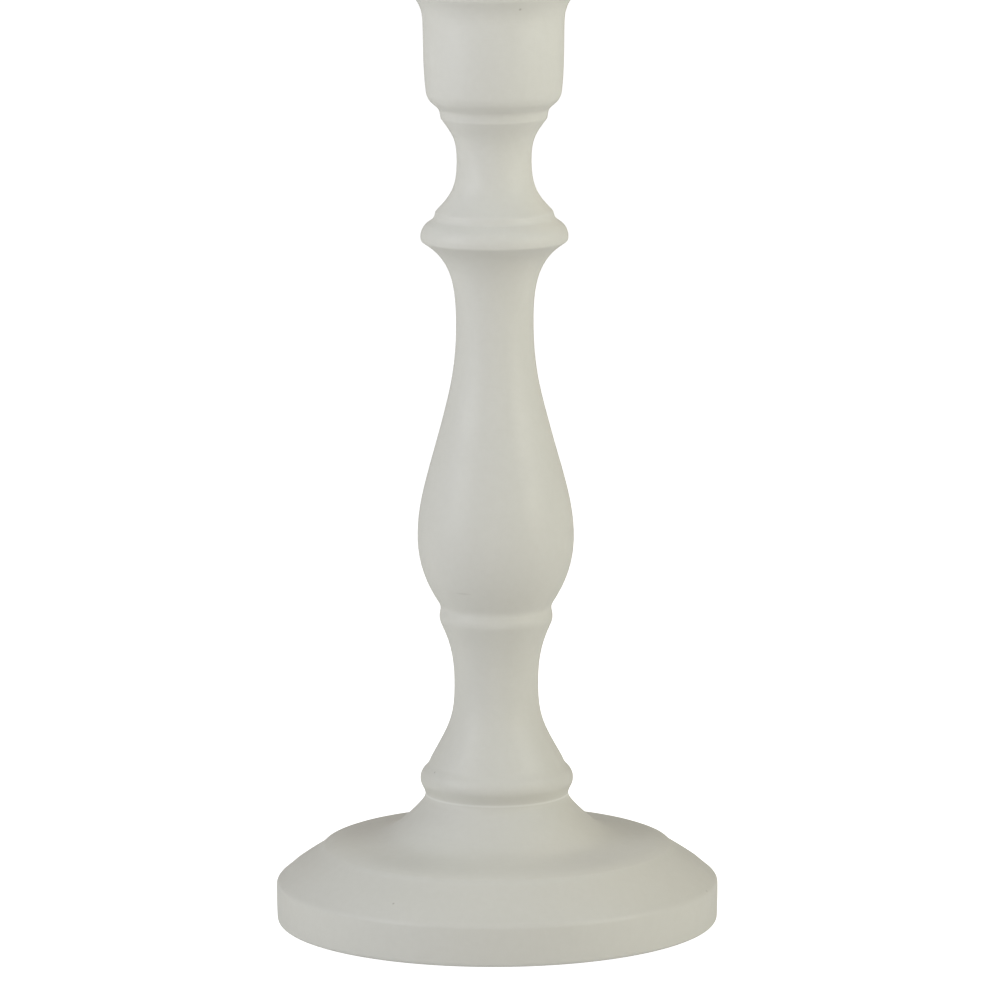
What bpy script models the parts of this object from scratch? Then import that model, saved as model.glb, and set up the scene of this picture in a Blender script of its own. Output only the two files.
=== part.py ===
"""A turned and painted wooden candlestick with a drop-in metal candle liner.

Five turned wooden sections stand on one axis. The foot takes the lower stem's tenon, held by a
wood screw from below, and fluted dowels join the other sections. Lengths are in millimetres and
become metres where the meshes are made. Z is up along the turning axis, and z = 0 is the surface
that the felt under the foot stands on.
"""

from math import atan, atan2, cos, floor, hypot, pi, radians, sin

import bmesh
import bpy

MM = 0.001

# Driving dimensions.
CANDLE_DIAMETER = 22.0
FOOT_RADIUS = 60.0
FOOT_HEIGHT = 35.4
RIM_TAPER = 0.15
LOWER_STEM_HEIGHT = 51.55
BALUSTER_HEIGHT = 105.3
UPPER_STEM_HEIGHT = 30.2
CUP_HEIGHT = 35.15
FELT_PROUD = 0.5
FELT_THICKNESS = 2.0
GAP = 0.3
SEGMENTS = 36
SHARP_ANGLE = 32.0

# Where each section's base plane stands on the axis.
FOOT_BASE = FELT_PROUD
LOWER_STEM_BASE = FOOT_BASE + FOOT_HEIGHT
BALUSTER_BASE = LOWER_STEM_BASE + LOWER_STEM_HEIGHT
UPPER_STEM_BASE = BALUSTER_BASE + BALUSTER_HEIGHT
CUP_BASE = UPPER_STEM_BASE + UPPER_STEM_HEIGHT
SHOULDER_GAP = GAP / 2

# The candle liner and the bore that it drops into.
LINER_INNER_RADIUS = CANDLE_DIAMETER / 2 + 0.3
LINER_WALL = 0.5
LINER_OUTER_RADIUS = LINER_INNER_RADIUS + LINER_WALL
LINER_FLOOR = 0.6
LINER_DEPTH = 20.0
FLANGE_RADIUS = 15.2
FLANGE_THICKNESS = 0.8
BORE_RADIUS = LINER_OUTER_RADIUS + GAP
BORE_FLOOR = CUP_HEIGHT - LINER_DEPTH - 2 * GAP
LAND_CHAMFER = 1.2

# The tenon, its screw and washer, and the recesses in the foot.
TENON_RADIUS = 8.0
TENON_LENGTH = 20.0
MORTISE_RADIUS = TENON_RADIUS + GAP
MORTISE_FLOOR = FOOT_HEIGHT - TENON_LENGTH - 0.4
FELT_RADIUS = 52.0
RECESS_RADIUS = FELT_RADIUS + GAP
RECESS_CEILING = FELT_THICKNESS - FELT_PROUD + GAP
WASHER_RADIUS = 8.5
WASHER_THICKNESS = 1.2
COUNTERBORE_RADIUS = WASHER_RADIUS + 0.8
COUNTERBORE_CEILING = 6.5
SCREW_RADIUS = 2.2
SCREW_CORE_RADIUS = 1.5
SCREW_HOLE_RADIUS = SCREW_RADIUS + 0.4
SCREW_HEAD_RADIUS = 4.2
SCREW_HEAD_HEIGHT = 2.3
THREAD_PITCH = 2.4
PILOT_DEPTH = 5.5

# Dowels: radius, and how far each one reaches below and above its joint.
DOWEL_CLEARANCE = 0.4
LOWER_DOWEL = {"radius": 5.0, "below": 15.0, "above": 15.0}
MIDDLE_DOWEL = {"radius": 5.0, "below": 12.0, "above": 12.0}
UPPER_DOWEL = {"radius": 4.0, "below": 12.0, "above": 10.0}
FLUTES = 12
FLUTE_DEPTH = 0.35


def curve_to(outline, end, lean_start, lean_end, pull=1.0, steps=6):
    """Add a cubic curve. A lean is the outline's tilt from straight up, in degrees, outward positive."""
    start = outline[-1]
    handle = hypot(end[0] - start[0], end[1] - start[1]) * pull / 3
    first = (
        start[0] + handle * sin(radians(lean_start)),
        start[1] + handle * cos(radians(lean_start)),
    )
    second = (
        end[0] - handle * sin(radians(lean_end)),
        end[1] - handle * cos(radians(lean_end)),
    )
    for step in range(1, steps + 1):
        t = step / steps
        weights = ((1 - t) ** 3, 3 * (1 - t) ** 2 * t, 3 * (1 - t) * t**2, t**3)
        corners = (start, first, second, end)
        outline.append(tuple(sum(w * c[k] for w, c in zip(weights, corners)) for k in (0, 1)))


def arc_to(outline, end, bulge, steps=6):
    """Add a round arc whose middle stands off the straight line by bulge, outward when rising."""
    start = outline[-1]
    run, rise = end[0] - start[0], end[1] - start[1]
    chord = hypot(run, rise)
    half = 2 * atan(2 * bulge / chord)
    radius = chord / (2 * sin(half))
    heading = atan2(run, rise) + half
    point = start
    for _ in range(steps):
        turn = 2 * half / steps
        step = 2 * radius * sin(turn / 2)
        heading -= turn / 2
        point = (point[0] + step * sin(heading), point[1] + step * cos(heading))
        heading -= turn / 2
        outline.append(point)
    outline[-1] = end


def drilled_up(radius, depth):
    """The inside of a drilled hole that opens downwards, from its tip down to its mouth."""
    return [(0.0, depth + radius / 4), (radius, depth), (radius, SHOULDER_GAP)]


def drilled_down(radius, depth, top):
    """The inside of a drilled hole that opens upwards, from its mouth down to its tip."""
    return [(radius, top - SHOULDER_GAP), (radius, top - depth), (0.0, top - depth - radius / 4)]


def dowel_hole(dowel, side):
    """Radius and depth of the hole that one end of a dowel stands in."""
    return dowel["radius"] + GAP, dowel[side] + DOWEL_CLEARANCE


def foot_outline():
    """The foot, from its clearance hole out under the base, over the mouldings and into the mortise."""
    outline = [
        (SCREW_HOLE_RADIUS, COUNTERBORE_CEILING),
        (COUNTERBORE_RADIUS, COUNTERBORE_CEILING),
        (COUNTERBORE_RADIUS, RECESS_CEILING),
        (RECESS_RADIUS, RECESS_CEILING),
        (RECESS_RADIUS, 0.0),
        (FOOT_RADIUS - RIM_TAPER - 1.3, 0.0),
    ]
    curve_to(outline, (FOOT_RADIUS - RIM_TAPER, 1.0), 90, 2, steps=3)
    outline.append((FOOT_RADIUS, 10.5))
    curve_to(outline, (59.0, 12.0), 0, -50, steps=3)
    outline.append((57.6, 13.0))
    arc_to(outline, (55.2, 15.1), 0.12, steps=3)
    arc_to(outline, (48.15, 19.65), 0.1, steps=4)
    outline.append((47.6, 20.1))
    outline.append((47.3, 20.85))
    curve_to(outline, (27.2, 26.2), -65, -49.7, steps=8)
    curve_to(outline, (17.85, FOOT_HEIGHT - SHOULDER_GAP), -49.7, -43.5, steps=4)
    outline += [
        (MORTISE_RADIUS, FOOT_HEIGHT - SHOULDER_GAP),
        (MORTISE_RADIUS, MORTISE_FLOOR),
        (SCREW_HOLE_RADIUS, MORTISE_FLOOR),
    ]
    return outline


def lower_stem_outline():
    """Tenon, round bead and fillet, a long cove, and the flare up to a flat ring."""
    hole_radius, hole_depth = dowel_hole(LOWER_DOWEL, "below")
    outline = [
        (0.0, PILOT_DEPTH + 1),
        (SCREW_RADIUS + GAP, PILOT_DEPTH),
        (SCREW_RADIUS + GAP, -TENON_LENGTH),
        (TENON_RADIUS - 0.8, -TENON_LENGTH),
        (TENON_RADIUS, -TENON_LENGTH + 0.8),
        (TENON_RADIUS, SHOULDER_GAP),
        (17.85, SHOULDER_GAP),
    ]
    arc_to(outline, (18.25, 7.7), 2.7, steps=8)
    outline.append((18.1, 7.9))
    outline.append((18.1, 9.05))
    curve_to(outline, (11.35, 29.7), -28.5, 0, pull=1.37, steps=7)
    curve_to(outline, (15.1, 47.2), 0, 25.5, pull=1.17, steps=5)
    arc_to(outline, (14.6, 51.2), 0.44, steps=4)
    outline.append((14.45, LOWER_STEM_HEIGHT - SHOULDER_GAP))
    return outline + drilled_down(hole_radius, hole_depth, LOWER_STEM_HEIGHT)


def baluster_outline():
    """The long baluster: a round belly, a slender neck and the flare under a rounded collar."""
    outline = drilled_up(*dowel_hole(LOWER_DOWEL, "above"))
    hole_radius, hole_depth = dowel_hole(MIDDLE_DOWEL, "below")
    outline.append((14.9, SHOULDER_GAP))
    curve_to(outline, (21.15, 18.9), 36, 0, pull=1.04, steps=6)
    curve_to(outline, (15.65, 46.0), 0, -15, pull=1.05, steps=6)
    curve_to(outline, (10.45, 77.0), -15, 0, pull=1.18, steps=6)
    curve_to(outline, (19.8, 99.55), 0, 60.5, pull=1.21, steps=9)
    arc_to(outline, (16.25, BALUSTER_HEIGHT - SHOULDER_GAP), 1.45, steps=6)
    return outline + drilled_down(hole_radius, hole_depth, BALUSTER_HEIGHT)


def upper_stem_outline():
    """A short spool: a fillet, a tight cove and the fillet that the cup stands on."""
    outline = drilled_up(*dowel_hole(MIDDLE_DOWEL, "above"))
    hole_radius, hole_depth = dowel_hole(UPPER_DOWEL, "below")
    outline.append((16.0, SHOULDER_GAP))
    outline.append((16.0, 2.05))
    curve_to(outline, (10.05, 16.15), -46.5, 0, pull=1.33, steps=7)
    curve_to(outline, (14.3, 27.3), 0, 38, pull=1.37, steps=6)
    outline.append((14.45, 27.8))
    outline.append((14.45, UPPER_STEM_HEIGHT - SHOULDER_GAP))
    return outline + drilled_down(hole_radius, hole_depth, UPPER_STEM_HEIGHT)


def candle_cup_outline():
    """The cup: a rounded bottom, a nearly straight wall, a flared lip and the bore for the liner."""
    outline = drilled_up(*dowel_hole(UPPER_DOWEL, "above"))
    outline.append((15.0, SHOULDER_GAP))
    outline.append((15.9, 0.75))
    arc_to(outline, (18.3, 4.8), 0.6, steps=5)
    curve_to(outline, (18.9, 14.9), 6.5, 1, steps=4)
    outline.append((19.05, 24.1))
    curve_to(outline, (21.1, 29.8), 1, 35, steps=6)
    curve_to(outline, (22.1, 31.1), 66, 8, steps=4)
    curve_to(outline, (22.3, 34.2), 8, -14, steps=3)
    curve_to(outline, (21.5, CUP_HEIGHT), -25, -80, steps=2)
    outline += [
        (BORE_RADIUS + LAND_CHAMFER, CUP_HEIGHT),
        (BORE_RADIUS, CUP_HEIGHT - LAND_CHAMFER),
        (BORE_RADIUS, BORE_FLOOR),
        (0.0, BORE_FLOOR),
    ]
    return outline


def candle_liner_outline():
    """A spun metal thimble with a floor and a rolled flange, drawn from the flange's underside."""
    outline = [(0.0, -LINER_DEPTH), (LINER_OUTER_RADIUS - 0.8, -LINER_DEPTH)]
    curve_to(outline, (LINER_OUTER_RADIUS, 0.8 - LINER_DEPTH), 90, 0, steps=3)
    outline.append((LINER_OUTER_RADIUS, 0.0))
    outline.append((FLANGE_RADIUS, 0.0))
    arc_to(outline, (FLANGE_RADIUS, FLANGE_THICKNESS), 0.3, steps=4)
    outline.append((LINER_INNER_RADIUS + 1, FLANGE_THICKNESS))
    curve_to(outline, (LINER_INNER_RADIUS, FLANGE_THICKNESS - 1), -90, -180, steps=3)
    outline.append((LINER_INNER_RADIUS, LINER_FLOOR - LINER_DEPTH))
    outline.append((0.0, LINER_FLOOR - LINER_DEPTH))
    return outline


def felt_outline():
    """A flat felt disc with slightly softened edges."""
    soft = 0.3
    return [
        (0.0, 0.0),
        (FELT_RADIUS - soft, 0.0),
        (FELT_RADIUS, soft),
        (FELT_RADIUS, FELT_THICKNESS - soft),
        (FELT_RADIUS - soft, FELT_THICKNESS),
        (0.0, FELT_THICKNESS),
    ]


def washer_outline():
    """A flat steel washer with broken outer edges."""
    broken = 0.2
    return [
        (SCREW_HOLE_RADIUS, 0.0),
        (WASHER_RADIUS - broken, 0.0),
        (WASHER_RADIUS, broken),
        (WASHER_RADIUS, WASHER_THICKNESS - broken),
        (WASHER_RADIUS - broken, WASHER_THICKNESS),
        (SCREW_HOLE_RADIUS, WASHER_THICKNESS),
    ]


def material(name, color, roughness, metallic=0.0):
    """A plain Principled material."""
    made = bpy.data.materials.new(name)
    made.use_nodes = True
    shader = made.node_tree.nodes["Principled BSDF"]
    shader.inputs["Base Color"].default_value = (*color, 1.0)
    shader.inputs["Roughness"].default_value = roughness
    shader.inputs["Metallic"].default_value = metallic
    return made


def place(name, mesh, base, surface, holder):
    """Put a finished mesh on the axis at a height, shaded smooth with its corners kept sharp."""
    mesh.shade_smooth()
    mesh.set_sharp_from_angle(angle=radians(SHARP_ANGLE))
    mesh.materials.append(surface)
    made = bpy.data.objects.new(name, mesh)
    bpy.context.collection.objects.link(made)
    made.location.z = base * MM
    made.parent = holder
    return made


def finished(mesh_builder, name):
    """Weld a bmesh, turn its faces outwards and store it."""
    bmesh.ops.remove_doubles(mesh_builder, verts=mesh_builder.verts, dist=0.001 * MM)
    bmesh.ops.recalc_face_normals(mesh_builder, faces=mesh_builder.faces)
    mesh = bpy.data.meshes.new(name)
    mesh_builder.to_mesh(mesh)
    mesh_builder.free()
    return mesh


def turned(name, outline):
    """Spin an outline of (radius, height) points round Z. One that leaves the axis free is a ring."""
    turning = bmesh.new()
    points = [turning.verts.new((r * MM, 0.0, z * MM)) for r, z in outline]
    edges = [turning.edges.new(pair) for pair in zip(points, points[1:])]
    if outline[0][0] > 0:
        edges.append(turning.edges.new((points[-1], points[0])))
    bmesh.ops.spin(
        turning,
        geom=points + edges,
        cent=(0, 0, 0),
        axis=(0, 0, 1),
        angle=2 * pi,
        steps=SEGMENTS,
        use_merge=True,
    )
    return finished(turning, name)


def stacked(name, rings):
    """Skin a stack of rings, each a list of (x, y, z) points, and cap both ends."""
    stack = bmesh.new()
    loops = [[stack.verts.new((x * MM, y * MM, z * MM)) for x, y, z in ring] for ring in rings]
    for low, high in zip(loops, loops[1:]):
        for k in range(len(low)):
            following = (k + 1) % len(low)
            stack.faces.new((low[k], low[following], high[following], high[k]))
    stack.faces.new(reversed(loops[0]))
    stack.faces.new(loops[-1])
    return finished(stack, name)


def fluted_ring(radius, flute_depth, height):
    """One level of a fluted dowel: crests and grooves in turn."""
    ring = []
    for k in range(2 * FLUTES):
        reach = radius - flute_depth * (k % 2)
        turn = pi * k / FLUTES
        ring.append((reach * cos(turn), reach * sin(turn), height))
    return ring


def dowel_mesh(name, radius, below, above):
    """A fluted beech dowel with chamfered ends, drawn from the joint that it crosses."""
    chamfer = 0.9
    levels = (
        (radius - chamfer, -below),
        (radius, chamfer - below),
        (radius, above - chamfer),
        (radius - chamfer, above),
    )
    return stacked(name, [fluted_ring(r, FLUTE_DEPTH, z) for r, z in levels])


def thread_radius(height, turn, thread_start, thread_end):
    """The screw's radius at a height and angle: a helical ridge on a core that ends in a point."""
    phase = height / THREAD_PITCH - turn / (2 * pi)
    ridge = max(0.0, 1 - 2.6 * abs(phase - floor(phase) - 0.5))
    run_in = min(1.0, (height - thread_start) / THREAD_PITCH)
    point = min(1.0, 0.08 + (thread_end - height) / (2 * THREAD_PITCH))
    return point * (SCREW_CORE_RADIUS + run_in * ridge * (SCREW_RADIUS - SCREW_CORE_RADIUS))


def screw_mesh(name):
    """A pan-head wood screw, drawn upwards from the underside that its head bears with."""
    sides = 12
    shank_end, tip = 8.0, 35.4
    plain = [
        (0.72 * SCREW_HEAD_RADIUS, -SCREW_HEAD_HEIGHT),
        (0.93 * SCREW_HEAD_RADIUS, -0.75 * SCREW_HEAD_HEIGHT),
        (SCREW_HEAD_RADIUS, -0.4 * SCREW_HEAD_HEIGHT),
        (SCREW_HEAD_RADIUS, 0.0),
        (0.93 * SCREW_RADIUS, 0.0),
        (0.93 * SCREW_RADIUS, shank_end - 0.6),
    ]
    turns = [2 * pi * k / sides for k in range(sides)]
    rings = [[(r * cos(a), r * sin(a), z) for a in turns] for r, z in plain]
    steps = round((tip - shank_end) / (THREAD_PITCH / 4))
    for step in range(steps + 1):
        height = shank_end + (tip - shank_end) * step / steps
        ring = []
        for turn in turns:
            radius = thread_radius(height, turn, shank_end, tip)
            ring.append((radius * cos(turn), radius * sin(turn), height))
        rings.append(ring)
    return stacked(name, rings)


def cross_recess(screw):
    """Cut a cross-shaped driver recess into the underside of the screw's head."""
    blade_size = (1.1 * SCREW_HEAD_RADIUS * MM, 0.24 * SCREW_HEAD_RADIUS * MM, 1.1 * SCREW_HEAD_HEIGHT * MM)
    for number, turn in enumerate((0.0, pi / 2), start=1):
        blade = bmesh.new()
        bmesh.ops.create_cube(blade, size=1.0)
        bmesh.ops.scale(blade, vec=blade_size, verts=blade.verts)
        mesh = bpy.data.meshes.new("driver_blade")
        blade.to_mesh(mesh)
        blade.free()
        cutter = bpy.data.objects.new(f"driver_blade_{number}", mesh)
        bpy.context.collection.objects.link(cutter)
        cutter.parent = screw
        cutter.location.z = -SCREW_HEAD_HEIGHT * MM
        cutter.rotation_euler.z = turn
        cutter.hide_render = True
        cutter.display_type = "WIRE"
        cut = screw.modifiers.new(f"driver_slot_{number}", "BOOLEAN")
        cut.operation = "DIFFERENCE"
        cut.solver = "EXACT"
        cut.object = cutter


def empty(name, base=0.0):
    """An empty on the turning axis."""
    made = bpy.data.objects.new(name, None)
    bpy.context.collection.objects.link(made)
    made.location.z = base * MM
    return made


def build_wood(holder):
    """The five painted sections, each standing on its own base plane."""
    sections = (
        ("foot", foot_outline(), FOOT_BASE),
        ("lower_stem", lower_stem_outline(), LOWER_STEM_BASE),
        ("baluster", baluster_outline(), BALUSTER_BASE),
        ("upper_stem", upper_stem_outline(), UPPER_STEM_BASE),
        ("candle_cup", candle_cup_outline(), CUP_BASE),
    )
    for name, outline, base in sections:
        paint = material(f"{name}_paint", (0.56, 0.555, 0.51), 0.42)
        place(name, turned(name, outline), base, paint, holder)


def build_dowels(holder):
    """The three dowels, each centred on the joint that it crosses."""
    joints = (
        ("dowel_lower", LOWER_DOWEL, BALUSTER_BASE),
        ("dowel_middle", MIDDLE_DOWEL, UPPER_STEM_BASE),
        ("dowel_upper", UPPER_DOWEL, CUP_BASE),
    )
    for name, dowel, base in joints:
        beech = material(f"{name}_beech", (0.52, 0.34, 0.19), 0.6)
        place(name, dowel_mesh(name, **dowel), base, beech, holder)


def build_foot_fixing(holder):
    """The washer and the screw that hold the stem's tenon in the foot."""
    washer_base = FOOT_BASE + COUNTERBORE_CEILING - GAP - WASHER_THICKNESS
    washer_steel = material("foot_washer_steel", (0.55, 0.55, 0.54), 0.35, 1.0)
    place("foot_washer", turned("foot_washer", washer_outline()), washer_base, washer_steel, holder)
    screw_steel = material("foot_screw_steel", (0.6, 0.58, 0.5), 0.3, 1.0)
    screw = place("foot_screw", screw_mesh("foot_screw"), washer_base - GAP, screw_steel, holder)
    cross_recess(screw)


def build_felt(holder):
    """The felt disc that the candlestick stands on."""
    felt = material("felt_pad_felt", (0.05, 0.09, 0.06), 0.95)
    place("felt_pad", turned("felt_pad", felt_outline()), 0.0, felt, holder)


def build_liner():
    """The liner, held by an empty on the axis along which it lifts out."""
    lift = empty("liner_lift_axis", CUP_BASE + CUP_HEIGHT + GAP)
    brass = material("candle_liner_brass", (0.72, 0.53, 0.24), 0.3, 1.0)
    place("candle_liner", turned("candle_liner", candle_liner_outline()), 0.0, brass, lift)


for existing in list(bpy.data.objects):
    bpy.data.objects.remove(existing, do_unlink=True)

turning_axis = empty("turning_axis")
build_wood(turning_axis)
build_dowels(turning_axis)
build_foot_fixing(turning_axis)
build_felt(turning_axis)
build_liner()
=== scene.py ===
"""The looks of the painted wooden candlestick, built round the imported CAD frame.

The paint runs over the turned sections as one skin, so their visible outlines are joined, softened
and cut at the section joints again. Every piece is then spun from its outline. The materials are
procedural. Lengths are in metres, Z is up.
"""

from math import acos, ceil, cos, hypot, pi, radians, sin

import bmesh
import bpy
import numpy as np
from mathutils import Matrix, Vector, noise


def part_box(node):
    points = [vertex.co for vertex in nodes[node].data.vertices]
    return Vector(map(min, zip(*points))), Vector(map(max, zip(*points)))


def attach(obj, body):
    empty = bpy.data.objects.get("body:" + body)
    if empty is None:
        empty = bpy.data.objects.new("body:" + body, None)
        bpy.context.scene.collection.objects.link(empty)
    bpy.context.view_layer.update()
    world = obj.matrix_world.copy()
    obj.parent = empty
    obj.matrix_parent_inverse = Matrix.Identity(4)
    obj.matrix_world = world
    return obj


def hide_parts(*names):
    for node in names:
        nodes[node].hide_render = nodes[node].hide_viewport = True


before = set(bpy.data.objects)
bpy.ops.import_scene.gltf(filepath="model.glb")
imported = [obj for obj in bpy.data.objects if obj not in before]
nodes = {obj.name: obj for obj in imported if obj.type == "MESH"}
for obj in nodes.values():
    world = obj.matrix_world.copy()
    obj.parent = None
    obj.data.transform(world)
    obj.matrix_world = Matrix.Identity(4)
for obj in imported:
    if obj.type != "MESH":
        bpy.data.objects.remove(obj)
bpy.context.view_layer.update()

MM = 0.001

# How finely the turned pieces are made. Two points that are TOUCHING count as one.
SEGMENTS = 192
TURN_PER_RING = radians(4)
RING_SPACING = 2.2 * MM
FINE_STEP = 0.1 * MM
CORNER_TURN = radians(24)
SHARP_EDGE = radians(38)
TOUCHING = 0.002 * MM

# The unevenness that sanding and brushing leave is noise on a cylinder of this radius, in which one
# unit of height stands for this length of the piece.
NOISE_RADIUS = 1.3
NOISE_LENGTH = 9 * MM

# The sections, whose shoulders stand a little apart in CAD and touch under the paint.
SECTIONS = ("foot", "lower_stem", "baluster", "upper_stem", "candle_cup")
CAD_HALF_GAP = 0.15 * MM
JOINTS = [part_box(section)[1].z + CAD_HALF_GAP for section in SECTIONS[:-1]]

# How far the paint rounds an edge, fills a hollow and fills the deeper hollow above the foot, and
# over what length of outline a groove or an arris is measured.
PAINT_SOFTNESS = 0.36 * MM
POOLING = 1.3 * MM
FOOT_POOLING = 2.5 * MM
GROOVE_REACH = 0.7 * MM


# ---------------------------------------------------------------- outlines


def meridian(node):
    """The (radius, height) outline of a turned CAD node, from the axis to the axis or once round."""
    mesh = bmesh.new()
    mesh.from_mesh(node.data)
    bmesh.ops.remove_doubles(mesh, verts=mesh.verts, dist=TOUCHING)
    on = {v for v in mesh.verts if abs(v.co.y) < TOUCHING and v.co.x > -TOUCHING}
    links = {v: [e.other_vert(v) for e in v.link_edges if e.other_vert(v) in on] for v in on}
    ends = [v for v in on if len(links[v]) == 1]
    here = min(ends or on, key=lambda v: (v.co.z, v.co.x))
    walked = [here]
    while True:
        ahead = [v for v in links[here] if v not in walked]
        if not ahead:
            break
        here = ahead[0]
        walked.append(here)
    points = [(max(v.co.x, 0.0), v.co.z) for v in walked]
    mesh.free()
    if ends:
        points = [(0.0, points[0][1]), *points, (0.0, points[-1][1])]
        points = [p for p, after in zip(points, points[1:] + [None]) if p != after]
    if signed_area(points) < 0:
        points = points[::-1] if ends else [points[0], *points[:0:-1]]
    return points


def signed_area(points):
    """Positive where the outline runs outwards below and upwards outside."""
    pairs = zip(points, points[1:] + points[:1])
    return sum(a[0] * b[1] - b[0] * a[1] for a, b in pairs) / 2


def direction(a, b):
    """The unit direction from a to b, and the distance."""
    length = hypot(b[0] - a[0], b[1] - a[1])
    return ((b[0] - a[0]) / length, (b[1] - a[1]) / length), length


def turn_between(d, e):
    """The angle between two directions."""
    return acos(max(-1.0, min(1.0, d[0] * e[0] + d[1] * e[1])))


def curved(points):
    """An open outline as a smooth curve through its points, straight up to each sharp corner."""
    chords = [direction(a, b) for a, b in zip(points, points[1:])]
    tangents = [chords[0][0]]
    corners = [True]
    for k in range(1, len(points) - 1):
        corners.append(turn_between(chords[k - 1][0], chords[k][0]) > CORNER_TURN)
        tangents.append(direction(points[k - 1], points[k + 1])[0])
    tangents.append(chords[-1][0])
    corners.append(True)
    fine = []
    for k, (chord, length) in enumerate(chords):
        leave = chord if corners[k] else tangents[k]
        arrive = chord if corners[k + 1] else tangents[k + 1]
        steps = ceil(length / FINE_STEP)
        fine += [
            hermite(points[k], points[k + 1], leave, arrive, length, step / steps)
            for step in range(steps)
        ]
    return fine + [points[-1]]


def hermite(start, end, leave, arrive, length, t):
    """A point on the cubic that leaves start and arrives at end in those directions."""
    a = 2 * t**3 - 3 * t**2 + 1
    b = (t**3 - 2 * t**2 + t) * length
    c = -2 * t**3 + 3 * t**2
    d = (t**3 - t**2) * length
    return tuple(a * start[j] + b * leave[j] + c * end[j] + d * arrive[j] for j in (0, 1))


def blurred(points, softness):
    """Evenly spaced points along the outline, its corners softened by a blur of that width."""
    path = np.array(points)
    run = np.concatenate([[0.0], np.cumsum(np.hypot(*np.diff(path, axis=0).T))])
    count = ceil(run[-1] / FINE_STEP) + 1
    even = np.linspace(0.0, run[-1], count)
    path = np.column_stack([np.interp(even, run, path[:, j]) for j in (0, 1)])
    reach = ceil(3 * softness / FINE_STEP)
    weights = np.exp(-0.5 * (np.arange(-reach, reach + 1) * FINE_STEP / softness) ** 2)
    weights /= weights.sum()
    before = 2 * path[0] - path[reach:0:-1]
    after = 2 * path[-1] - path[-2 : -reach - 2 : -1]
    padded = np.vstack([before, path, after])
    return np.column_stack([np.convolve(padded[:, j], weights, mode="valid") for j in (0, 1)])


def pooled(path, reach):
    """The outline after paint has run into its hollows: a blur that only moves it outwards.

    Each pass moves a point half-way to the middle of its neighbours, which adds half a squared step
    to the square of the blur's reach.
    """
    path = path.copy()
    passes = ceil(2 * (reach / FINE_STEP) ** 2)
    for _ in range(passes):
        lag = (path[2:] + path[:-2]) / 2 - path[1:-1]
        ahead = path[2:] - path[:-2]
        filling = lag[:, 0] * ahead[:, 1] > lag[:, 1] * ahead[:, 0]
        path[1:-1][filling] += 0.5 * lag[filling]
    return path


def thinned(path):
    """The places along a dense path to keep: more where it turns, and always next to its ends."""
    heading = [direction(a, b)[0] for a, b in zip(path, path[1:])]
    last = len(path) - 1
    kept = [0, 1]
    for k in range(2, last - 1):
        turned = turn_between(heading[kept[-1]], heading[k]) > TURN_PER_RING
        if turned or direction(path[kept[-1]], path[k])[1] > RING_SPACING:
            kept.append(k)
    return kept + [last - 1, last]


def grooves(path):
    """How hollow a dense path is at each point: 1 in a square groove, -1 on a square arris."""
    step = np.diff(path, axis=0)
    cross = step[:-1, 0] * step[1:, 1] - step[:-1, 1] * step[1:, 0]
    turn = np.arctan2(cross, (step[:-1] * step[1:]).sum(axis=1))
    reach = ceil(3 * GROOVE_REACH / FINE_STEP)
    weights = np.exp(-((np.arange(-reach, reach + 1) * FINE_STEP / GROOVE_REACH) ** 2))
    spread = np.convolve(np.pad(turn, 1), weights, mode="same")
    return np.clip(-spread / (pi / 2), -1.0, 1.0)


def simple_outline(node_name, softness):
    """The whole outline of a CAD node, with softened corners, as (radius, height, hollow) rows."""
    path = blurred(curved(meridian(nodes[node_name])), softness)
    return [(max(path[k][0], 0.0), path[k][1], 0.0) for k in thinned(path)]


def painted_span(points, section):
    """Where the painted part of a section's outline starts and ends."""
    place = SECTIONS.index(section)
    low = JOINTS[place - 1] + CAD_HALF_GAP if place else points[0][1]
    high = JOINTS[place] - CAD_HALF_GAP if place < len(JOINTS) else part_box(section)[1].z

    def at(height):
        return [k for k, p in enumerate(points) if abs(p[1] - height) < 2 * TOUCHING]

    start = max(at(low), key=lambda k: points[k][0]) if place else 0
    tops = at(high)
    if place == len(JOINTS):
        return start, min(tops, key=lambda k: points[k][0])
    return start, max(tops, key=lambda k: points[k][0])


def section_outlines():
    """Each section's outline as (radius, height, hollow) rows, and which bands are painted."""
    raw = {section: meridian(nodes[section]) for section in SECTIONS}
    spans = {section: painted_span(raw[section], section) for section in SECTIONS}
    visible = [p for s in SECTIONS for p in raw[s][spans[s][0] : spans[s][1] + 1]]
    skin = blurred(curved(visible), PAINT_SOFTNESS)
    hollow = grooves(skin)
    skin = pooled(skin, POOLING)
    by_foot = np.abs(skin[:, 1] - JOINTS[0]) < 2 * FOOT_POOLING
    skin[by_foot] = pooled(skin[by_foot], FOOT_POOLING)
    outlines = {}
    for place, section in enumerate(SECTIONS):
        start, end = spans[section]
        points = raw[section]
        low = JOINTS[place - 1] if place else None
        high = JOINTS[place] if place < len(JOINTS) else None
        piece, shade = cut_between(skin, hollow, low, high)
        painted = [(*piece[k], shade[k]) for k in thinned(piece)]
        before = [(r, at_joint(z), 0.0) for r, z in points[:start]]
        after = [(r, at_joint(z), 0.0) for r, z in points[end + 1 :]]
        flags = [False] * len(before) + [True] * (len(painted) - 1) + [False] * (len(after) + 1)
        outlines[section] = (before + painted + after, flags)
    return outlines


def at_joint(height):
    """A height, moved to the joint itself if it is that of a CAD shoulder next to it."""
    for joint in JOINTS:
        if abs(abs(height - joint) - CAD_HALF_GAP) < 2 * TOUCHING:
            return joint + (TOUCHING if height > joint else -TOUCHING)
    return height


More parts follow.
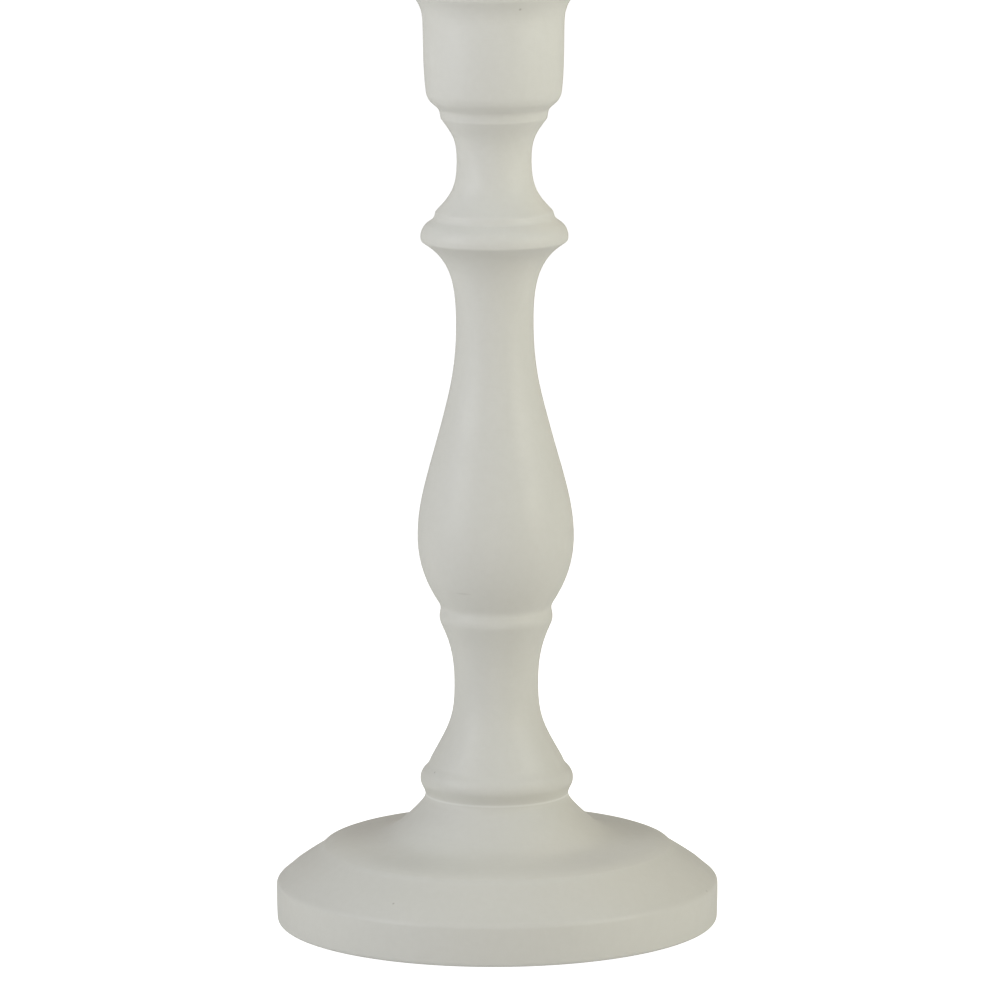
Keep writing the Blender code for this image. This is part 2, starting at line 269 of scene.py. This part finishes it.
def cut_between(skin, hollow, low, high):
    """The part of the skin between two joint heights, with a point on each joint."""
    first, last = 0, len(skin) - 1
    start, end = [], []
    if low is not None:
        first = int(np.argmax(skin[:, 1] > low))
        start = [crossing(skin, hollow, first, low, TOUCHING)]
    if high is not None:
        last = int(np.argmax(skin[:, 1] > high)) - 1
        end = [crossing(skin, hollow, last + 1, high, -TOUCHING)]
    rows = start + [(*skin[k], hollow[k]) for k in range(first, last + 1)] + end
    return [row[:2] for row in rows], [row[2] for row in rows]


def crossing(skin, hollow, after, joint, lift):
    """The skin's point on a joint, just above or below it."""
    share = (joint - skin[after - 1, 1]) / (skin[after, 1] - skin[after - 1, 1])
    radius = skin[after - 1, 0] + share * (skin[after, 0] - skin[after - 1, 0])
    return (radius, joint + lift, hollow[after])


# ---------------------------------------------------------------- meshes


def hand_finish(radius, turn, height, amount):
    """The radius with the tiny unevenness that sanding and brushing leave."""
    place = Vector((cos(turn) * NOISE_RADIUS, sin(turn) * NOISE_RADIUS, height / NOISE_LENGTH))
    return radius + amount * noise.noise(place)


def spun(name, rows, unevenness, painted=None):
    """Spin (radius, height, hollow) rows round Z. Bands that aren't painted take the second material."""
    clear_of_axis = rows[0][0] > TOUCHING
    vertices, circles, hollow = [], [], []
    for radius, height, groove in rows:
        if radius < TOUCHING:
            circles.append([len(vertices)])
            vertices.append((0.0, 0.0, height))
            hollow.append(groove)
            continue
        first = len(vertices)
        for k in range(SEGMENTS):
            turn = 2 * pi * k / SEGMENTS
            reach = hand_finish(radius, turn, height, unevenness)
            vertices.append((reach * cos(turn), reach * sin(turn), height))
        hollow += [groove] * SEGMENTS
        circles.append(list(range(first, first + SEGMENTS)))
    if clear_of_axis:
        circles.append(circles[0])
    faces, second = [], []
    for k, (low, high) in enumerate(zip(circles, circles[1:])):
        strip = list(band(low, high))
        faces += strip
        second += [int(painted is not None and not painted[k])] * len(strip)
    mesh = bpy.data.meshes.new(name)
    mesh.from_pydata(vertices, [], faces)
    mesh.polygons.foreach_set("material_index", second)
    mesh.attributes.new("hollow", "FLOAT", "POINT").data.foreach_set("value", hollow)
    mesh.shade_smooth()
    mesh.set_sharp_from_angle(angle=SHARP_EDGE)
    return linked(name, mesh)


def linked(name, data):
    """A new object in the scene."""
    thing = bpy.data.objects.new(name, data)
    bpy.context.scene.collection.objects.link(thing)
    return thing


def band(low, high):
    """The faces between two circles of vertices, either of which may be a single one on the axis."""
    count = max(len(low), len(high))
    for k in range(count):
        after = (k + 1) % count
        if len(low) == 1:
            yield (low[0], high[after], high[k])
        elif len(high) == 1:
            yield (low[k], low[after], high[0])
        else:
            yield (low[k], low[after], high[after], high[k])


def stand_in(node_name, piece, body):
    """Show the piece in place of a CAD node, on its body."""
    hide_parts(node_name)
    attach(piece, body)


# ---------------------------------------------------------------- materials


class Nodes:
    """A node tree, with one call that makes a node and fills or links its inputs."""

    def __init__(self, tree):
        self.tree = tree

    def fill(self, node, key, value):
        """Link a socket to an input, or set the input's own value."""
        if isinstance(value, bpy.types.NodeSocket):
            self.tree.links.new(value, node.inputs[key])
        else:
            node.inputs[key].default_value = value

    def node(self, kind, inputs=None, output=0, **settings):
        """Make a node and return one of its outputs."""
        made = self.tree.nodes.new(f"ShaderNode{kind}")
        for key, value in settings.items():
            setattr(made, key, value)
        for key, value in (inputs or {}).items():
            self.fill(made, key, value)
        return made.outputs[output]


class Graph(Nodes):
    """A material's node tree round its Principled shader."""

    def __init__(self, name, color, roughness, metallic=0.0):
        self.material = bpy.data.materials.new(name)
        self.material.use_nodes = True
        super().__init__(self.material.node_tree)
        self.shader = self.tree.nodes["Principled BSDF"]
        self.set("Base Color", (*color, 1.0))
        self.set("Roughness", roughness)
        self.set("Metallic", metallic)

    def set(self, name, value):
        """Give one of the shader's inputs a value or a link."""
        self.fill(self.shader, name, value)

    def math(self, operation, *values):
        """A math node."""
        return self.node("Math", dict(enumerate(values)), operation=operation)

    def place(self, scale=(1.0, 1.0, 1.0)):
        """Object coordinates in metres, scaled on each axis."""
        here = self.node("TexCoord", output="Object")
        return self.node("VectorMath", {0: here, 1: scale}, operation="MULTIPLY")

    def noise(self, vector, scale, detail=3.0):
        """Noise from 0 to 1."""
        inputs = {"Vector": vector, "Scale": scale, "Detail": detail, "Roughness": 0.55}
        return self.node("TexNoise", inputs, output="Fac")

    def spread(self, value, low, high, to_low=0.0, to_high=1.0):
        """Stretch the range from low to high over another range, clamped."""
        inputs = {"Value": value, 1: low, 2: high, 3: to_low, 4: to_high}
        return self.node("MapRange", inputs)

    def mix(self, factor, first, second):
        """Mix two colours, each a link or a tuple of three, in the node's colour sockets."""
        made = self.tree.nodes.new("ShaderNodeMix")
        made.data_type = "RGBA"
        for key, value in ((0, factor), (6, first), (7, second)):
            if isinstance(value, tuple):
                value = (*value, 1.0)
            self.fill(made, key, value)
        return made.outputs[2]

    def bump(self, height, distance, onto=None):
        """A bump of that depth in metres, on top of another normal."""
        inputs = {"Height": height, "Distance": distance, "Strength": 1.0}
        if onto is not None:
            inputs["Normal"] = onto
        return self.node("Bump", inputs)

    def radius(self):
        """Distance from the turning axis."""
        flat = self.place((1.0, 1.0, 0.0))
        return self.node("VectorMath", {0: flat}, output="Value", operation="LENGTH")

    def height(self):
        """Height above the floor."""
        return self.node("SeparateXYZ", {0: self.place()}, output="Z")


# The paint's usual, thin and thick tones, a painted light for its deep grooves, and its marks.
PAINT = (0.625, 0.62, 0.575)
PAINT_THIN = (0.665, 0.66, 0.62)
PAINT_THICK = (0.585, 0.578, 0.528)
PAINT_GROOVE_LIGHT = (0.70, 0.70, 0.66)
SPECK = (0.20, 0.18, 0.14)

# Small dark marks in the paint: turn from the front towards +X in degrees, height and size in
# millimetres. The first four are on the front.
MARKS = (
    (20.5, 251.4, 0.5),
    (-30.0, 15.5, 0.42),
    (72.0, 12.0, 0.42),
    (-61.0, 43.1, 0.36),
    (131.0, 84.0, 0.4),
    (-152.0, 236.0, 0.45),
    (174.0, 24.5, 0.4),
)

# The turn and height of the one rubbed mark, and how much each axis counts in the distance from it.
SMUDGE = (-29.0, 93.4)
SMUDGE_STRETCH = (0.25, 0.25, 2.0)


def rings_of_the_lathe(graph, scale, detail):
    """Noise that changes along the outline only, as sanding on the lathe leaves it."""
    along = graph.math("MULTIPLY_ADD", graph.radius(), 0.8, graph.height())
    inputs = {"W": along, "Scale": scale, "Detail": detail, "Roughness": 0.6}
    return graph.node("TexNoise", inputs, output="Fac", noise_dimensions="1D")


def on_surface(outline, turn, height):
    """The point of the surface at a turn in degrees and a height in millimetres."""
    reach = radius_at(outline, height * MM)
    return (reach * sin(radians(turn)), -reach * cos(radians(turn)), height * MM)


def marks(graph, outline):
    """A mask of the small dark marks, each a soft dot on the surface."""
    total = None
    here = graph.place()
    for turn, height, size in MARKS:
        centre = on_surface(outline, turn, height)
        away = graph.node("VectorMath", {0: here, 1: centre}, output="Value", operation="DISTANCE")
        dot = graph.spread(away, 0.2 * size * MM, size * MM, 1.0, 0.0)
        total = dot if total is None else graph.math("MAXIMUM", total, dot)
    return total


def smudge(graph, outline):
    """A mask of the one faint rubbed mark, wider than it is high."""
    centre = on_surface(outline, *SMUDGE)
    away = graph.node("VectorMath", {0: graph.place(), 1: centre}, operation="SUBTRACT")
    away = graph.node("VectorMath", {0: away, 1: SMUDGE_STRETCH}, operation="MULTIPLY")
    away = graph.node("VectorMath", {0: away}, output="Value", operation="LENGTH")
    return graph.spread(away, 0.1 * MM, 0.75 * MM, 1.0, 0.0)


def radius_at(outline, height):
    """The outermost radius of an outline at a height."""
    widest = 0.0
    for a, b in zip(outline, outline[1:]):
        low, high = sorted((a[1], b[1]))
        if low <= height <= high and high > low:
            share = (height - a[1]) / (b[1] - a[1])
            widest = max(widest, a[0] + share * (b[0] - a[0]))
    return widest


def paint(outline):
    """Eggshell stone-cream paint, brushed and rubbed down on turned wood."""
    graph = Graph("cream_paint", PAINT, 0.5)
    hollow = graph.node("Attribute", output="Fac", attribute_name="hollow")
    cloud = graph.noise(graph.place(), 30.0, 4.0)
    fine = graph.noise(graph.place(), 500.0, 3.0)
    tone = graph.mix(graph.spread(cloud, 0.3, 0.7, 0.0, 0.3), PAINT, PAINT_THICK)
    tone = graph.mix(graph.spread(fine, 0.35, 0.65, 0.0, 0.25), tone, PAINT_THICK)
    # Painted light: the deepest grooves get a lighter tone that stands in for light bounced into them
    # and lifts their shade. It shows in the groove above the foot and hardly anywhere else.
    tone = graph.mix(graph.spread(hollow, 0.6, 0.95), tone, PAINT_GROOVE_LIGHT)
    tone = graph.mix(graph.spread(hollow, -0.9, -0.2, 0.6, 0.0), tone, PAINT_THIN)
    spots = marks(graph, outline)
    tone = graph.mix(graph.math("MULTIPLY", spots, 0.5), tone, SPECK)
    tone = graph.mix(graph.math("MULTIPLY", smudge(graph, outline), 0.16), tone, SPECK)
    graph.set("Base Color", tone)
    graph.set("Roughness", graph.spread(graph.noise(graph.place(), 160.0), 0.3, 0.7, 0.45, 0.55))
    peel = graph.bump(graph.noise(graph.place(), 750.0, 2.0), 0.02 * MM)
    lines = graph.bump(rings_of_the_lathe(graph, 900.0, 3.0), 0.012 * MM, onto=peel)
    brush = graph.noise(graph.place((60.0, 60.0, 900.0)), 1.0, 3.0)
    brushed = graph.bump(brush, 0.01 * MM, onto=lines)
    graph.set("Normal", graph.bump(spots, 0.05 * MM, onto=brushed))
    return graph.material


def bare_beech():
    """Unpainted beech: long grain up the axis with short dark rays."""
    graph = Graph("bare_beech", (0.52, 0.36, 0.22), 0.62)
    grain = graph.noise(graph.place((900.0, 900.0, 45.0)), 1.0, 5.0)
    bands = graph.noise(graph.place((170.0, 210.0, 9.0)), 1.0, 3.0)
    cells = {"Vector": graph.place((1400.0, 1400.0, 330.0)), "Scale": 1.0}
    rays = graph.node("TexVoronoi", cells, output="Distance")
    tone = graph.mix(graph.spread(bands, 0.3, 0.7), (0.56, 0.39, 0.24), (0.43, 0.28, 0.16))
    tone = graph.mix(graph.spread(grain, 0.4, 0.75, 0.0, 0.5), tone, (0.33, 0.20, 0.11))
    tone = graph.mix(graph.spread(rays, 0.0, 0.18, 0.6, 0.0), tone, (0.27, 0.15, 0.08))
    graph.set("Base Color", tone)
    graph.set("Roughness", graph.spread(grain, 0.3, 0.7, 0.55, 0.75))
    graph.set("Normal", graph.bump(grain, 0.04 * MM))
    return graph.material


def spun_brass():
    """Satin brass with the fine rings of metal spinning and a little tarnish."""
    graph = Graph("spun_brass", (0.74, 0.54, 0.25), 0.3, 1.0)
    cloud = graph.noise(graph.place(), 210.0, 4.0)
    tone = graph.mix(graph.spread(cloud, 0.35, 0.7), (0.77, 0.57, 0.27), (0.60, 0.41, 0.17))
    spots = graph.spread(graph.noise(graph.place(), 900.0, 2.0), 0.66, 0.74, 0.0, 0.6)
    graph.set("Base Color", graph.mix(spots, tone, (0.36, 0.22, 0.09)))
    rings = rings_of_the_lathe(graph, 3200.0, 3.0)
    worn = graph.math("MULTIPLY_ADD", graph.spread(cloud, 0.3, 0.7), 0.14, 0.2)
    graph.set("Roughness", graph.math("MULTIPLY_ADD", rings, 0.12, worn))
    graph.set("Normal", graph.bump(rings, 0.012 * MM))
    return graph.material


def zinc_steel():
    """Zinc-plated steel, slightly cloudy and yellow-passivated."""
    graph = Graph("zinc_steel", (0.58, 0.57, 0.53), 0.34, 1.0)
    cloud = graph.noise(graph.place(), 520.0, 4.0)
    tone = graph.mix(graph.spread(cloud, 0.3, 0.7), (0.62, 0.60, 0.54), (0.46, 0.45, 0.42))
    graph.set("Base Color", tone)
    graph.set("Roughness", graph.spread(cloud, 0.3, 0.7, 0.27, 0.48))
    graph.set("Normal", graph.bump(graph.noise(graph.place(), 2600.0, 2.0), 0.01 * MM))
    return graph.material


def wool_felt():
    """Dark green pressed felt: matted fibres with a soft sheen."""
    graph = Graph("wool_felt", (0.030, 0.060, 0.040), 0.95)
    curl = {"Vector": graph.place(), "Scale": 260.0, "Detail": 2.0}
    twist = graph.node("TexNoise", curl, output="Color")
    reach = (4 * MM, 4 * MM, 4 * MM)
    bent = graph.node("VectorMath", {0: twist, 1: reach, 2: graph.place()}, operation="MULTIPLY_ADD")
    cells = {"Vector": bent, "Scale": 1500.0}
    fibre = graph.node("TexVoronoi", cells, output="Distance", feature="DISTANCE_TO_EDGE")
    mat = graph.noise(graph.place(), 1100.0, 4.0)
    tone = graph.mix(graph.spread(mat, 0.3, 0.7), (0.022, 0.046, 0.030), (0.050, 0.090, 0.060))
    tone = graph.mix(graph.spread(fibre, 0.0, 0.12, 0.6, 0.0), tone, (0.085, 0.13, 0.09))
    graph.set("Base Color", tone)
    graph.set("Sheen Weight", 0.5)
    graph.set("Sheen Roughness", 0.5)
    graph.set("Specular IOR Level", 0.15)
    graph.set("Normal", graph.bump(graph.math("ADD", mat, fibre), 0.12 * MM))
    return graph.material


# ---------------------------------------------------------------- pieces


def make_sections():
    """The five painted wooden sections."""
    outlines = section_outlines()
    whole = [row[:2] for rows, _ in outlines.values() for row in rows]
    coat, wood = paint(whole), bare_beech()
    for section, (rows, painted) in outlines.items():
        piece = spun(f"{section}_painted", rows, 0.03 * MM, painted)
        piece.data.materials.append(coat)
        piece.data.materials.append(wood)
        stand_in(section, piece, "candlestick")


def make_liner():
    """The brass liner, spun from sheet."""
    piece = spun("candle_liner_spun", simple_outline("candle_liner", 0.1 * MM), 0.01 * MM)
    piece.data.materials.append(spun_brass())
    stand_in("candle_liner", piece, "liner")


def make_felt():
    """The felt disc under the foot."""
    piece = spun("felt_pad_pressed", simple_outline("felt_pad", 0.25 * MM), 0.12 * MM)
    piece.data.materials.append(wool_felt())
    stand_in("felt_pad", piece, "candlestick")


def make_fixings():
    """The hidden dowels, screw and washer keep their CAD shapes."""
    wood, steel = bare_beech(), zinc_steel()
    for name in ("dowel_lower", "dowel_middle", "dowel_upper", "foot_screw", "foot_washer"):
        surface = wood if name.startswith("dowel") else steel
        nodes[name].data.materials.clear()
        nodes[name].data.materials.append(surface)


# ---------------------------------------------------------------- studio


# The camera's place. Its focal length is in millimetres.
CAMERA_DISTANCE = 2.228
CAMERA_PITCH = radians(9.84)
CAMERA_ROLL = radians(0.24)
CAMERA_ASIDE = 1.2 * MM
AIM_HEIGHT = 116.2 * MM
FOCAL_LENGTH = 297.0


def make_camera():
    """A long lens looking slightly down, with the small lean of the photographed view."""
    data = bpy.data.cameras.new("camera")
    data.lens = FOCAL_LENGTH
    data.sensor_width = 36.0
    data.clip_start, data.clip_end = 0.1, 20.0
    camera = linked("camera", data)
    camera.location = (
        CAMERA_ASIDE,
        -CAMERA_DISTANCE * cos(CAMERA_PITCH),
        AIM_HEIGHT + CAMERA_DISTANCE * sin(CAMERA_PITCH),
    )
    tilt = Matrix.Rotation(pi / 2 - CAMERA_PITCH, 4, "X")
    roll = Matrix.Rotation(-CAMERA_ROLL, 4, "Z")
    camera.rotation_euler = (tilt @ roll).to_euler()
    bpy.context.scene.camera = camera


# Each light's turn from the camera's side towards +X and its rise in degrees, its distance from the
# middle of the candlestick and its size in metres, its watts and its tint.
LIGHTS = {
    "front_light": (0, 12, 1.3, 0.7, 1.5, (1.03, 1.0, 1.12)),
    "left_light": (-60, 12, 1.3, 0.7, 6.6, (0.98, 1.0, 0.99)),
    "right_light": (60, 12, 1.3, 0.7, 6.6, (1.05, 1.0, 0.83)),
    "upper_left_light": (-70, 35, 0.55, 0.35, 0.85, (1.0, 1.0, 1.04)),
    "upper_right_light": (70, 35, 0.55, 0.35, 0.91, (0.93, 1.0, 1.0)),
    "back_left_light": (-140, 45, 0.6, 0.4, 0.44, (0.96, 1.0, 0.93)),
    "back_right_light": (140, 45, 0.6, 0.4, 0.5, (1.14, 1.0, 0.7)),
    "overhead_light": (0, 80, 0.32, 0.25, 0.14, (0.95, 1.0, 1.1)),
}
LIT_HEIGHT = 0.13
BACK_GLOW = (0.28, 0.25, 0.25)
FLOOR_GLOW = 0.28
FLOOR_HALF_WIDTH = 6.0
FLOOR_DROP = 0.2 * MM
WHITE = 1.05


def make_light(name, turn, rise, distance, size, power, tint):
    """A soft square light that looks at the middle of the candlestick."""
    data = bpy.data.lights.new(name, "AREA")
    data.size = size
    data.energy = power
    data.color = tint
    lamp = linked(name, data)
    around, up = radians(turn), radians(rise)
    away = Vector((sin(around) * cos(up), -cos(around) * cos(up), sin(up)))
    lamp.location = Vector((0.0, 0.0, LIT_HEIGHT)) + distance * away
    lamp.rotation_euler = (-away).to_track_quat("-Z", "Y").to_euler()
    lamp.visible_camera = False


def make_world():
    """White where the camera sees it, and a dim glow from behind the candlestick."""
    world = bpy.data.worlds.new("studio")
    world.use_nodes = True
    graph = Nodes(world.node_tree)
    glow = graph.tree.nodes["Background"]
    backwards = graph.node("SeparateXYZ", {0: graph.node("TexCoord", output="Generated")}, output="Y")
    graph.fill(glow, "Color", (*BACK_GLOW, 1.0))
    graph.fill(glow, "Strength", graph.node("Clamp", {"Value": backwards}))
    white = graph.node("Background", {"Color": (WHITE, WHITE, WHITE, 1.0)})
    seen = graph.node("LightPath", output="Is Camera Ray")
    either = graph.node("MixShader", {0: seen, 1: glow.outputs[0], 2: white})
    graph.fill(graph.tree.nodes["World Output"], "Surface", either)
    bpy.context.scene.world = world


def make_floor():
    """A plain white floor that glows a little, so it lights the candlestick from below.

    It is a hair below the felt, so that the two faces don't coincide.
    """
    sides = ((-1, -1), (1, -1), (1, 1), (-1, 1))
    corners = [(x * FLOOR_HALF_WIDTH, y * FLOOR_HALF_WIDTH, -FLOOR_DROP) for x, y in sides]
    mesh = bpy.data.meshes.new("floor")
    mesh.from_pydata(corners, [], [(0, 1, 2, 3)])
    floor = linked("floor", mesh)
    graph = Graph("white_floor", (0.5, 0.5, 0.5), 0.8)
    graph.set("Specular IOR Level", 0.0)
    seen = graph.node("LightPath", output="Is Camera Ray")
    graph.set("Emission Color", (1.0, 1.0, 1.0, 1.0))
    graph.set("Emission Strength", graph.spread(seen, 0.0, 1.0, FLOOR_GLOW, WHITE))
    mesh.materials.append(graph.material)


make_sections()
make_liner()
make_felt()
make_fixings()
make_camera()
for name, settings in LIGHTS.items():
    make_light(name, *settings)
make_world()
make_floor()
bpy.context.scene.view_settings.view_transform = "Standard"
